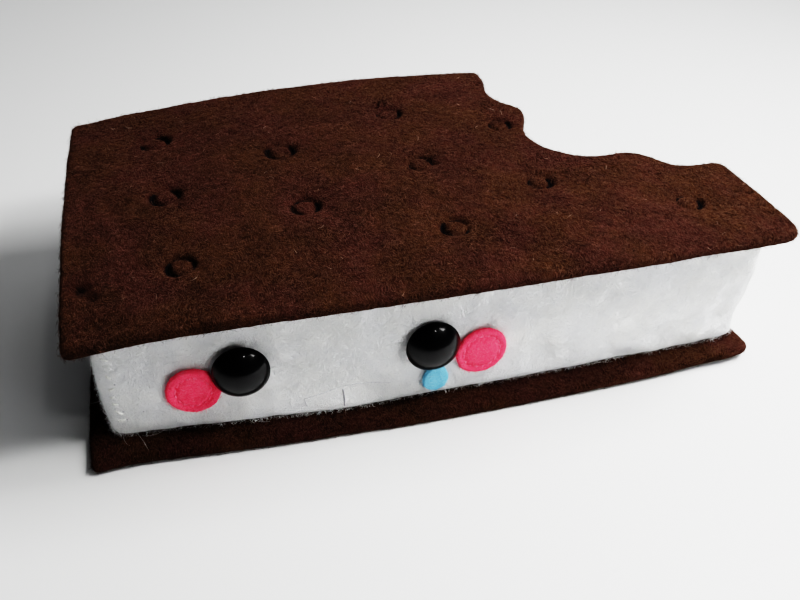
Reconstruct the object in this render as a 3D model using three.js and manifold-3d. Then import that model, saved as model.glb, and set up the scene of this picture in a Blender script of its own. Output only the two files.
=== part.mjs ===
// A sewn felt toy in the form of a bitten ice cream sandwich: two brown felt cookies, a stuffed white
// filling between them, and a face of two domed safety eyes, two felt cheeks and one felt tear.
// Millimetres. +X runs along the sandwich, the face looks towards -Y, and +Z is up.
// While it is modelled, x and y start at the front left corner of the cookies. The finished group is
// moved so that its origin is the middle of its underside.
import * as THREE from "three";
import { mergeVertices } from "three/addons/utils/BufferGeometryUtils.js";
import Module from "manifold-3d";

const { Vector2, Vector3 } = THREE;
const { lerp, clamp } = THREE.MathUtils;

// ---------------------------------------------------------------- driving dimensions

const LENGTH = 152; // front edge of a cookie, corner to corner
const WIDTH = 80; // left edge of a cookie, corner to corner
const FELT = 2.3; // thickness of a cookie
const EDGE_BEVEL = 0.6; // softening of a cookie's cut edge
const GAP = 0.3; // clearance between neighbouring pieces
const STEP = 4.4; // length of one facet along an edge
const BITE_STEP = 2.8; // length of one facet along the bite

// Height of the upper face at the four corners, and how much higher it stands in the middle of each edge.
const TOP_CORNERS = { frontLeft: 35.9, frontRight: 37.3, backLeft: 36.1, backRight: 36.2 };
const TOP_RISE = { front: 1.4, back: 4.0, left: 1.1, right: 0 };
const FLOP = { depth: 2.3, reach: 32 }; // the upper cookie's front left corner hangs down

// The stuffing presses the lower cookie down in the middle, so its corners curl off the table.
const CORNER_LIFT = { frontLeft: 0.7, frontRight: 1.8, backLeft: 1.2, backRight: 1.2 };
const CURL_START = 0.7; // share of the half width at which the curl begins

// The bite, from the right edge round to the back edge.
const COOKIE_BITE = [
  [150.4, 30.6], [147.5, 31.4], [140.5, 30.8], [136.6, 31.9], [132.2, 36.5], [127.9, 38.2],
  [121.0, 37.5], [114.5, 39.0], [109.3, 42.8], [106.8, 48.6], [107.2, 52.2], [110.4, 60.0],
  [109.8, 63.6], [106.0, 66.9], [104.4, 71.5], [105.5, 77.5], [105.8, 83.4],
];
const FILLING_BITE = [
  [147.1, 26.2], [139.5, 26.4], [133.5, 28.8], [128.5, 33.2], [121.0, 33.2], [112.0, 35.0],
  [105.5, 41.0], [102.8, 51.0], [104.5, 60.5], [100.5, 68.0], [100.8, 78.2],
];

// Plans: the straight sides between corners, how far each bows outwards, and the corner radii.
const COOKIE_PLAN = {
  left: 0, right: LENGTH, front: 0, back: WIDTH, bite: COOKIE_BITE,
  bow: { front: 2.6, back: 4.2, left: 0.4, right: 0.3 },
  radius: { frontLeft: 1.5, frontRight: 4.8, bite: 1.8, back: 1.6, backLeft: 1.3 },
};
const FILLING_PLAN = {
  left: 4.4, right: 148.6, front: 7.2, back: 75.2, bite: FILLING_BITE,
  bow: { front: 2.3, back: 3.4, left: 0.4, right: 0.3 },
  radius: { frontLeft: 1.5, frontRight: 3.0, bite: 2.5, back: 2.5, backLeft: 2.5 },
};
const LOWER_SHIFT = new Vector2(-0.65, 0.55); // the lower cookie lies a little to the left and back
const LOWER_TIP = { pull: new Vector2(0.6, -1.5), reach: 14 }; // its front left corner is drawn out
const WALL_BULGE = 1.1; // how far the stuffed wall swells at half its height

// Docking marks, pressed by hand in staggered columns, so that they stand a little unevenly.
const MARKS = [
  [19.6, 64.9], [20.8, 41.3], [22.4, 17.1],
  [47.4, 53.2], [49.3, 30.4],
  [76.2, 65.3], [78.0, 41.5], [78.6, 17.0],
  [102.1, 55.3], [102.6, 29.7],
  [133.2, 16.6],
];
const MARK_RADIUS = 2.7; // middle of the ring-shaped groove
const MARK_GROOVE = 0.65; // radius of the groove's round section

const EYE_RADIUS = 5.85;
const EYE_HEIGHT = 5.3;
const EYES = [
  { name: "eye_left", x: 31.0, z: 20.3 },
  { name: "eye_right", x: 70.6, z: 19.8 },
];
const CHEEKS = [
  { name: "cheek_left", x: 21.3, z: 15.2, width: 10.9, height: 12.0, eye: 0 },
  { name: "cheek_right", x: 81.8, z: 14.8, width: 11.4, height: 12.8, eye: 1 },
];
const TRIM_FELT = 1.3; // thickness of the cheeks and the tear
const TEAR = { x: 72.1, bottom: 3.8, top: 12.6, width: 6.2 };

// ---------------------------------------------------------------- materials

const felt = (color) => new THREE.MeshStandardMaterial({ color, roughness: 0.95, metalness: 0 });
const BROWN_FELT = felt(0x3b1e15);
const WHITE_FELT = felt(0xe2e3e6);
const PINK_FELT = felt(0xe23a5f);
const BLUE_FELT = felt(0x86c4de);
const BLACK_PLASTIC = new THREE.MeshStandardMaterial({ color: 0x060708, roughness: 0.12, metalness: 0 });

// ---------------------------------------------------------------- surfaces as functions of place

// 0 at both ends of an edge and 1 in its middle.
const bump = (share) => 4 * share * (1 - share);

const bilinear = (corners, u, v) =>
  lerp(lerp(corners.frontLeft, corners.frontRight, u), lerp(corners.backLeft, corners.backRight, u), v);

// Upper face of the upper cookie.
function topHeight(x, y) {
  const u = x / LENGTH;
  const v = y / WIDTH;
  const along = lerp(TOP_RISE.front, TOP_RISE.back, v) * bump(u);
  const across = lerp(TOP_RISE.left, TOP_RISE.right, u) * bump(v);
  const flop = FLOP.depth * Math.max(0, 1 - Math.hypot(x, y) / FLOP.reach) ** 2;
  return bilinear(TOP_CORNERS, u, v) + along + across - flop;
}

// Lower face of the lower cookie: flat, but for the curl near the corners.
function baseHeight(x, y) {
  const u = x / LENGTH;
  const v = y / WIDTH;
  const fromMiddle = Math.abs(2 * v - 1);
  const curl = clamp((fromMiddle - CURL_START) / (1 - CURL_START), 0, 1) ** 2;
  return bilinear(CORNER_LIFT, u, v) * (2 * u - 1) ** 2 * curl;
}

const fillingFloor = (x, y) => baseHeight(x, y) + FELT + GAP;
const fillingRoof = (x, y) => topHeight(x, y) - FELT - GAP;

// Front face of the filling: its y at a place across and up.
function wallFront(x, z) {
  const { front, bow } = FILLING_PLAN;
  const floor = fillingFloor(x, front);
  const share = (z - floor) / (fillingRoof(x, front) - floor);
  return front - bow.front * bump(x / LENGTH) - WALL_BULGE * bump(share);
}

// ---------------------------------------------------------------- outlines

// Points of a stretch from its start up to, and without, its end.
function stretch(count, pointAt) {
  return Array.from({ length: count }, (_, i) => pointAt(i / count));
}

// A corner rounded between two points on its sides.
function roundedCorner(from, corner, to) {
  const arc = new THREE.QuadraticBezierCurve(from, corner, to);
  return stretch(Math.max(2, Math.round(arc.getLength() / 1.8)), (t) => arc.getPoint(t));
}

// The outline of a plan, counter-clockwise from above.
function outline({ left, right, front, back, bite, bow, radius }) {
  const frontAt = (x) => new Vector2(x, front - bow.front * bump(x / LENGTH));
  const backAt = (x) => new Vector2(x, back + bow.back * bump(x / LENGTH));
  const leftAt = (y) => new Vector2(left - bow.left * bump(y / WIDTH), y);
  const biteCurve = new THREE.SplineCurve(bite.map(([x, y]) => new Vector2(x, y)));
  const [biteStart, biteEnd] = [biteCurve.getPoint(0), biteCurve.getPoint(1)];
  const rightAt = (y) => {
    const share = (y - front) / (biteStart.y - front);
    return new Vector2(lerp(right, biteStart.x, share) + bow.right * bump(share), y);
  };
  const biteLength = biteCurve.getLength();
  const biteAt = (distance) => biteCurve.getPointAt(distance / biteLength);
  const count = (length) => Math.ceil(length / STEP);

  const frontFrom = left + radius.frontLeft;
  const frontTo = right - radius.frontRight;
  const rightFrom = front + radius.frontRight;
  const rightTo = biteStart.y - radius.bite;
  const biteTo = biteLength - radius.back;
  const backFrom = biteEnd.x - radius.back;
  const backTo = left + radius.backLeft;
  const leftFrom = back - radius.backLeft;
  const leftTo = front + radius.frontLeft;
  return [
    ...stretch(count(frontTo - frontFrom), (t) => frontAt(lerp(frontFrom, frontTo, t))),
    ...roundedCorner(frontAt(frontTo), new Vector2(right, front), rightAt(rightFrom)),
    ...stretch(count(rightTo - rightFrom), (t) => rightAt(lerp(rightFrom, rightTo, t))),
    ...roundedCorner(rightAt(rightTo), biteStart, biteAt(radius.bite)),
    ...stretch(Math.ceil((biteTo - radius.bite) / BITE_STEP), (t) => biteAt(lerp(radius.bite, biteTo, t))),
    ...roundedCorner(biteAt(biteTo), biteEnd, backAt(backFrom)),
    ...stretch(count(backFrom - backTo), (t) => backAt(lerp(backFrom, backTo, t))),
    ...roundedCorner(backAt(backTo), new Vector2(left, back), leftAt(leftFrom)),
    ...stretch(count(leftFrom - leftTo), (t) => leftAt(lerp(leftFrom, leftTo, t))),
    ...roundedCorner(leftAt(leftTo), new Vector2(left, front), frontAt(frontFrom)),
  ];
}

// Each point moved along the outline's outward normal. A negative distance moves it inwards.
function offset(points, distance) {
  return points.map((point, i) => {
    const before = points.at(i - 1);
    const after = points[(i + 1) % points.length];
    const normal = new Vector2(after.y - before.y, before.x - after.x).normalize();
    return point.clone().addScaledVector(normal, distance);
  });
}

// The line down the middle of a plan that its inner rings shrink towards. It bends round the bite.
function spineOf(point) {
  const x = 20 + 0.6 * point.x;
  const y = x < 80 ? 38 : lerp(38, 15, (x - 80) / 31);
  return new Vector2(x, y);
}

const shrink = (points, share) => points.map((p) => p.clone().lerp(spineOf(p), share));

// ---------------------------------------------------------------- solids

const raise = (points, heightAt) => points.map((p) => new Vector3(p.x, p.y, heightAt(p.x, p.y)));

// Triangles that close a ring, zipped from one end to the other by the shorter diagonal.
function zip(ring) {
  const faces = [];
  const start = ring.reduce((best, p, i) => (p.x < ring[best].x ? i : best), 0);
  let low = start;
  let high = start + ring.length - 1;
  const at = (i) => ring[i % ring.length];
  while (high - low > 1) {
    if (at(low + 1).distanceTo(at(high)) < at(low).distanceTo(at(high - 1))) {
      faces.push([low, low + 1, high]);
      low += 1;
    } else {
      faces.push([low, high - 1, high]);
      high -= 1;
    }
  }
  return faces.map((face) => face.map((i) => i % ring.length));
}

// A closed solid through rings with equally many points, each ring counter-clockwise seen from the
// last one's side.
function ringSolid(rings) {
  const count = rings[0].length;
  const last = (rings.length - 1) * count;
  const index = [];
  for (let ring = 0; ring < rings.length - 1; ring++) {
    for (let i = 0; i < count; i++) {
      const here = ring * count + i;
      const next = ring * count + ((i + 1) % count);
      index.push(here, next, next + count, here, next + count, here + count);
    }
  }
  for (const [a, b, c] of zip(rings[0])) index.push(c, b, a);
  for (const [a, b, c] of zip(rings.at(-1))) index.push(last + a, last + b, last + c);
  const geometry = new THREE.BufferGeometry().setFromPoints(rings.flat());
  geometry.setIndex(index);
  geometry.computeVertexNormals();
  return geometry;
}

// How far in the rings of a face lie, as shares of the way to the spine.
const FACE_RINGS = [0.2, 0.5, 0.85];
const faceRings = (points, heightAt) => FACE_RINGS.map((share) => raise(shrink(points, share), heightAt));

// A felt cookie between a lower and an upper face, with bevelled edges.
function cookie(points, lowerAt, upperAt) {
  const face = offset(points, -EDGE_BEVEL);
  return ringSolid([
    ...faceRings(face, lowerAt).reverse(),
    raise(face, lowerAt),
    raise(points, (x, y) => lowerAt(x, y) + EDGE_BEVEL),
    raise(points, (x, y) => upperAt(x, y) - EDGE_BEVEL),
    raise(face, upperAt),
    ...faceRings(face, upperAt),
  ]);
}

// The stuffed block: a wall that swells between the seams, and faces that follow the cookies.
function filling() {
  const points = outline(FILLING_PLAN);
  const wall = [0, 0.12, 0.3, 0.5, 0.7, 0.88, 1].map((share) =>
    raise(offset(points, WALL_BULGE * bump(share)), (x, y) =>
      lerp(fillingFloor(x, y), fillingRoof(x, y), share),
    ),
  );
  return ringSolid([
    ...faceRings(points, fillingFloor).reverse(),
    ...wall,
    ...faceRings(points, fillingRoof),
  ]);
}

// A piece of felt on the front wall. The outline runs round (0, 0), seen from the front.
function frontPatch(points, x, z) {
  const layer = (scale, depth) =>
    points.map((p) => {
      const [px, pz] = [x + p.x * scale, z + p.y * scale];
      return new Vector3(px, wallFront(px, pz) - GAP - depth, pz);
    });
  const edge = 0.95;
  return ringSolid([
    layer(edge, 0),
    layer(1, 0.3 * TRIM_FELT),
    layer(1, 0.7 * TRIM_FELT),
    layer(edge, TRIM_FELT),
  ]);
}

function oval(width, height, count) {
  return stretch(count, (t) => {
    const angle = 2 * Math.PI * t;
    return new Vector2((width / 2) * Math.cos(angle), (height / 2) * Math.sin(angle));
  });
}

// A blunt drop with its narrow end up, as wide and high as asked.
function drop(width, height, count) {
  const spread = 0.3; // how much the drop narrows upwards
  const widest = 0.91; // the factor's largest value along the curve
  return stretch(count, (t) => {
    const angle = -2 * Math.PI * t;
    const half = (Math.sin(angle) * Math.sin(Math.PI * t) ** spread) / widest;
    return new Vector2((half * width) / 2, (Math.cos(angle) * height) / 2);
  });
}

// A domed eye, its flat back at the origin and its dome along +Y.
function eyeDome() {
  const rim = 0.9; // height of the widest part
  const profile = [new Vector2(0, 0), new Vector2(EYE_RADIUS - 0.7, 0), new Vector2(EYE_RADIUS - 0.15, 0.35)];
  const steps = 7;
  for (let i = 0; i <= steps; i++) {
    const angle = (i / steps) * (Math.PI / 2);
    const radius = i === steps ? 0 : EYE_RADIUS * Math.cos(angle);
    profile.push(new Vector2(radius, rim + (EYE_HEIGHT - rim) * Math.sin(angle)));
  }
  return new THREE.LatheGeometry(profile, 24);
}

// The way the front wall faces at a place.
function wallNormal(x, z) {
  const reach = 1;
  const across = (wallFront(x + reach, z) - wallFront(x - reach, z)) / (2 * reach);
  const up = (wallFront(x, z + reach) - wallFront(x, z - reach)) / (2 * reach);
  return new Vector3(across, -1, up).normalize();
}

// ---------------------------------------------------------------- cuts

const wasm = await Module();
wasm.setup();

function solidOf(geometry, matrix) {
  const bare = geometry.clone();
  bare.deleteAttribute("normal");
  bare.deleteAttribute("uv");
  const merged = mergeVertices(bare, 1e-4).applyMatrix4(matrix);
  const vertProperties = new Float32Array(merged.attributes.position.array);
  const triVerts = new Uint32Array(merged.index.array);
  return new wasm.Manifold(new wasm.Mesh({ numProp: 3, vertProperties, triVerts }));
}

// What is left of a geometry when placed tools are taken away from it.
function cutAway(geometry, tools) {
  const left = tools.reduce(
    (solid, tool) => solid.subtract(solidOf(tool.geometry, tool.matrix)),
    solidOf(geometry, new THREE.Matrix4()),
  );
  const mesh = left.getMesh();
  const result = new THREE.BufferGeometry();
  result.setAttribute("position", new THREE.BufferAttribute(mesh.vertProperties, 3));
  result.setIndex(new THREE.BufferAttribute(mesh.triVerts, 1));
  result.computeVertexNormals();
  return result;
}

// ---------------------------------------------------------------- assembly

const sandwich = new THREE.Group();

function addPiece(name, geometry, material) {
  const mesh = new THREE.Mesh(geometry, material);
  mesh.name = name;
  sandwich.add(mesh);
  return mesh;
}

// Places a piece modelled along +Y on the front wall, facing away from it.
function placeOnWall(mesh, x, z, clearance) {
  const normal = wallNormal(x, z);
  mesh.quaternion.setFromUnitVectors(new Vector3(0, 1, 0), normal);
  mesh.position.set(x, wallFront(x, z), z).addScaledVector(normal, clearance);
  mesh.updateMatrix();
}

function addCookies() {
  const upper = outline(COOKIE_PLAN);
  const lower = upper.map((p) => {
    const pull = Math.max(0, 1 - p.length() / LOWER_TIP.reach) ** 2;
    return p.clone().add(LOWER_SHIFT).addScaledVector(LOWER_TIP.pull, pull);
  });
  const underTop = (x, y) => topHeight(x, y) - FELT;
  const grooves = MARKS.map(([x, y]) => ({
    geometry: new THREE.TorusGeometry(MARK_RADIUS, MARK_GROOVE, 6, 16),
    matrix: new THREE.Matrix4().makeTranslation(x, y, topHeight(x, y)),
  }));
  addPiece("top_cookie", cutAway(cookie(upper, underTop, topHeight), grooves), BROWN_FELT);
  addPiece("bottom_cookie", cookie(lower, baseHeight, (x, y) => baseHeight(x, y) + FELT), BROWN_FELT);
}

function addFace() {
  const eyes = EYES.map(({ name, x, z }) => {
    const eye = addPiece(name, eyeDome(), BLACK_PLASTIC);
    placeOnWall(eye, x, z, GAP);
    return eye;
  });
  for (const { name, x, z, width, height, eye } of CHEEKS) {
    const room = new THREE.CylinderGeometry(EYE_RADIUS + GAP, EYE_RADIUS + GAP, 4 * EYE_HEIGHT, 24);
    const cheek = frontPatch(oval(width, height, 26), x, z);
    addPiece(name, cutAway(cheek, [{ geometry: room, matrix: eyes[eye].matrix }]), PINK_FELT);
  }
  const height = TEAR.top - TEAR.bottom;
  const middle = (TEAR.top + TEAR.bottom) / 2;
  addPiece("tear", frontPatch(drop(TEAR.width, height, 24), TEAR.x, middle), BLUE_FELT);
}

addCookies();
addPiece("filling", filling(), WHITE_FELT);
addFace();

const box = new THREE.Box3().setFromObject(sandwich, true);
const middle = box.getCenter(new Vector3());
sandwich.position.set(-middle.x, -middle.y, -box.min.z);

export default sandwich;
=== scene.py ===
"""A hand-sewn felt toy: a bitten ice cream sandwich with a small face.

Two brown felt cookies hold a stuffed white felt filling. On its front sit two domed eyes, two cheeks
and a tear. Lengths are metres. Places on the sandwich are given in millimetres from the front left
corner of the cookies, x along the front, y to the back and z up from the table, and Layout turns
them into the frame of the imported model.
"""

from __future__ import annotations

import logging
import math
from contextlib import contextmanager
from dataclasses import dataclass, field
from enum import Enum
from typing import Callable, Iterator, Sequence

import bpy
import numpy as np
from mathutils import Matrix, Vector
from mathutils.bvhtree import BVHTree


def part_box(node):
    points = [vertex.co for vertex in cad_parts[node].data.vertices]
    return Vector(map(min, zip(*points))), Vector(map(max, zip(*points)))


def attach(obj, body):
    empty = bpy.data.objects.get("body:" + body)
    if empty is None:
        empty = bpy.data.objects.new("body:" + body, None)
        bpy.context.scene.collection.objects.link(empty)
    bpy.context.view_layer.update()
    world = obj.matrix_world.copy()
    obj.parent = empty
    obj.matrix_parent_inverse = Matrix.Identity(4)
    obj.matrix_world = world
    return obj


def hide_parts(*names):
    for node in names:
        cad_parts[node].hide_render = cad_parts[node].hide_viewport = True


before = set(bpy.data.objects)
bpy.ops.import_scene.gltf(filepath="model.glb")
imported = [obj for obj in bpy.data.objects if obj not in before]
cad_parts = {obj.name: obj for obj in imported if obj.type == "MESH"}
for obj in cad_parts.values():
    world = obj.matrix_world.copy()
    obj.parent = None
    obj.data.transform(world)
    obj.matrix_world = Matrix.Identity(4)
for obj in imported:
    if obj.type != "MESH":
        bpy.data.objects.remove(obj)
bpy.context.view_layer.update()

logging.basicConfig(level=logging.INFO, format="%(message)s")
log = logging.getLogger("sandwich")

MM = 0.001
TINY = 1e-15
BODY = "root"
Pair = tuple[float, float]
Triple = tuple[float, float, float]
Colour = Triple
Piece = bpy.types.Object
Socket = bpy.types.NodeSocket
Cover = Callable[[np.ndarray, np.ndarray], np.ndarray]
WHITE: Colour = (1.0, 1.0, 1.0)
BACKWARDS = Vector((0.0, 1.0, 0.0))
DOWN = Vector((0.0, 0.0, -1.0))


# ------------------------------ places


@dataclass(frozen=True)
class Layout:
    """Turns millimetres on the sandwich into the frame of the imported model."""

    bow_left: float = 0.4
    bow_front: float = 2.6

    def corner(self) -> Vector:
        """The front left corner of the cookies, on the table."""
        low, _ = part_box("top_cookie")
        return Vector((low.x + self.bow_left * MM, low.y + self.bow_front * MM, 0.0))

    def at(self, x: float, y: float, z: float) -> Vector:
        """The place x, y and z millimetres from the corner."""
        return self.corner() + Vector((x, y, z)) * MM


LAYOUT = Layout()


# ------------------------------ mesh operators


class Kind(Enum):
    """The modifiers that finish the pieces."""

    CLOTH = "CLOTH"
    DISPLACE = "DISPLACE"
    SMOOTH = "SMOOTH"
    SUBSURF = "SUBSURF"


def activate(piece: Piece) -> None:
    """Makes a piece the only selected one, and the active one.

    Args:
        piece: the piece.
    """
    bpy.ops.object.select_all(action="DESELECT")
    piece.select_set(True)
    bpy.context.view_layer.objects.active = piece


def finish_with(piece: Piece, kind: Kind, **settings: object) -> None:
    """Adds a modifier to a piece and applies it.

    Args:
        piece: the piece to change.
        kind: the modifier.
        settings: the modifier's own settings.
    """
    modifier = piece.modifiers.new(kind.value.title(), kind.value)
    for name, value in settings.items():
        setattr(modifier, name, value)
    activate(piece)
    bpy.ops.object.modifier_apply(modifier=modifier.name)


def add_object(name: str, data: bpy.types.ID) -> Piece:
    """Adds an object that holds some data to the scene.

    Args:
        name: the object's name.
        data: its mesh, light or camera.

    Returns:
        The new object.
    """
    added = bpy.data.objects.new(name, data)
    bpy.context.scene.collection.objects.link(added)
    return added


@contextmanager
def editing(piece: Piece) -> Iterator[None]:
    """Opens a piece in edit mode with all of it selected, and leaves edit mode at the end.

    Args:
        piece: the piece.

    Yields:
        Nothing, while the piece is open.
    """
    activate(piece)
    bpy.ops.object.mode_set(mode="EDIT")
    bpy.ops.mesh.select_all(action="SELECT")
    yield
    bpy.ops.object.mode_set(mode="OBJECT")


def copy_of_node(node: str, name: str, merge_reach: float = 1e-6) -> Piece:
    """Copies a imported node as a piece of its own, with its corners merged.

    Args:
        node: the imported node.
        name: the new piece's name.
        merge_reach: how near two corners are to be one, in metres.

    Returns:
        The new piece, with no material and no layers.
    """
    piece = add_object(name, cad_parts[node].data.copy())
    piece.data.materials.clear()
    with editing(piece):
        bpy.ops.mesh.remove_doubles(threshold=merge_reach)
    return piece


def remesh(piece: Piece, voxel: float) -> None:
    """Rebuilds a piece as even squares.

    Args:
        piece: the piece to change.
        voxel: the squares' size in metres.
    """
    activate(piece)
    piece.data.remesh_voxel_size = voxel
    piece.data.remesh_voxel_adaptivity = 0
    bpy.ops.object.voxel_remesh()


def roughen(piece: Piece, swells: Sequence[Pair]) -> None:
    """Moves a piece's surface in and out by soft random patterns.

    Args:
        piece: the piece to change.
        swells: for each pattern, the size of its swells and the distance from its lowest to its highest, in
            metres.
    """
    for size, depth in swells:
        pattern = bpy.data.textures.new(f"{piece.name}_swells", "CLOUDS")
        pattern.noise_scale = size
        pattern.noise_depth = 2
        finish_with(piece, Kind.DISPLACE, texture=pattern, strength=depth, mid_level=0.5, texture_coords="LOCAL")
        bpy.data.textures.remove(pattern)


def vertices_of(piece: Piece, what: str) -> np.ndarray:
    """Reads one vector for each vertex of a piece.

    Args:
        piece: the piece.
        what: co for their places, or normal for the directions that they face.

    Returns:
        The vectors, one row each.
    """
    flat = np.empty(len(piece.data.vertices) * 3)
    piece.data.vertices.foreach_get(what, flat)
    return flat.reshape(-1, 3)


def points_of(piece: Piece) -> np.ndarray:
    """The places of a piece's vertices, one row each."""
    return vertices_of(piece, "co")


def normals_of(piece: Piece) -> np.ndarray:
    """The directions that a piece's vertices face, one row each."""
    return vertices_of(piece, "normal")


def move_points(piece: Piece, places: np.ndarray) -> None:
    """Puts a piece's vertices at new places."""
    piece.data.vertices.foreach_set("co", places.ravel())
    piece.data.update()


def store(piece: Piece, name: str, values: np.ndarray) -> None:
    """Stores one number for each vertex of a piece, for its material to read."""
    layer = piece.data.attributes.new(name, "FLOAT", "POINT")
    layer.data.foreach_set("value", values.astype(np.float32))


def smoothstep(low: float, high: float, values: np.ndarray) -> np.ndarray:
    """0 up to low and 1 from high on, with a smooth rise between them."""
    share = np.clip((values - low) / (high - low), 0.0, 1.0)
    return share * share * (3.0 - 2.0 * share)


def smooth_shading(piece: Piece) -> None:
    """Shades a piece as one smooth surface."""
    activate(piece)
    bpy.ops.object.shade_smooth()


def hand_over(piece: Piece, finish: Finish, *nodes: str) -> None:
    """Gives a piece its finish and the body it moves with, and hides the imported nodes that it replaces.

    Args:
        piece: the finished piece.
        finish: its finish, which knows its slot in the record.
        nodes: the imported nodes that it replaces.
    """
    piece.data.materials.append(finish.material())
    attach(piece, BODY)
    if nodes:
        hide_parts(*nodes)
    log.info("%s: %d faces", piece.name, len(piece.data.polygons))


def shares(steps: int) -> list[float]:
    """Shares of the way along a path, from 0 to 1 in even steps."""
    return [step / steps for step in range(steps + 1)]


class Skin:
    """The surface of a finished piece, for what is laid or sewn on it."""

    def __init__(self, piece: Piece) -> None:
        """Reads the piece as it is now."""
        corners = [tuple(face.vertices) for face in piece.data.polygons]
        self.tree = BVHTree.FromPolygons([Vector(p) for p in points_of(piece)], corners)

    def nearest(self, place: Vector) -> tuple[Vector, Vector]:
        """The nearest place on the surface, and the direction that it faces."""
        found, normal, _, _ = self.tree.find_nearest(place)
        return found, normal

    def distances(self, places: np.ndarray) -> np.ndarray:
        """How far each of some places is from the surface."""
        return np.array([self.tree.find_nearest(Vector(p))[3] for p in places])

    def ahead(self, place: Vector, towards: Vector) -> Vector:
        """Where a ray from a place meets the surface, or the place itself if it misses."""
        found, _, _, _ = self.tree.ray_cast(place, towards)
        return found if found is not None else place


# ------------------------------ shaders


class Slot(Enum):
    """The record's material slots."""

    BLACK_PLASTIC = "black_plastic"
    BLUE_FELT = "blue_felt"
    BROWN_FELT = "brown_felt"
    PINK_FELT = "pink_felt"
    WHITE_FELT = "white_felt"


@dataclass(frozen=True)
class Swells:
    """A soft random pattern: the size of its swells in metres, and how many and how strong its finer ones are."""

    size: float
    detail: float = 2.0
    rough: float = 0.5


class Value:
    """A number that varies over a surface. Python's operators add the Math nodes."""

    def __init__(self, shader: Shader, socket: Socket) -> None:
        """Wraps an output socket of a shader's tree."""
        self.shader = shader
        self.socket = socket

    def _math(self, operation: str, *values: Value | float) -> Value:
        """One Math node on some values."""
        node = self.shader.node("Math", {"operation": operation}, dict(enumerate(values)))
        return Value(self.shader, node.outputs[0])

    def __add__(self, other: Value | float) -> Value:
        """Self + other."""
        return self._math("ADD", self, other)

    __radd__ = __add__

    def __sub__(self, other: Value | float) -> Value:
        """Self - other."""
        return self._math("SUBTRACT", self, other)

    def __rsub__(self, other: float) -> Value:
        """Other - self."""
        return self._math("SUBTRACT", other, self)

    def __mul__(self, other: Value | float) -> Value:
        """Self * other."""
        return self._math("MULTIPLY", self, other)

    __rmul__ = __mul__

    def either(self, other: Value) -> Value:
        """The larger of two values."""
        return self._math("MAXIMUM", self, other)

    def between(self, low: float, high: float) -> Value:
        """Goes from 0 to 1 as the value rises.

        Args:
            low: the value up to which it is 0.
            high: the value from which it is 1.

        Returns:
            The new value, with a smooth rise in between.
        """
        settings = {"interpolation_type": "SMOOTHSTEP"}
        node = self.shader.node("MapRange", settings, {"Value": self, "From Min": low, "From Max": high})
        return Value(self.shader, node.outputs["Result"])


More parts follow.
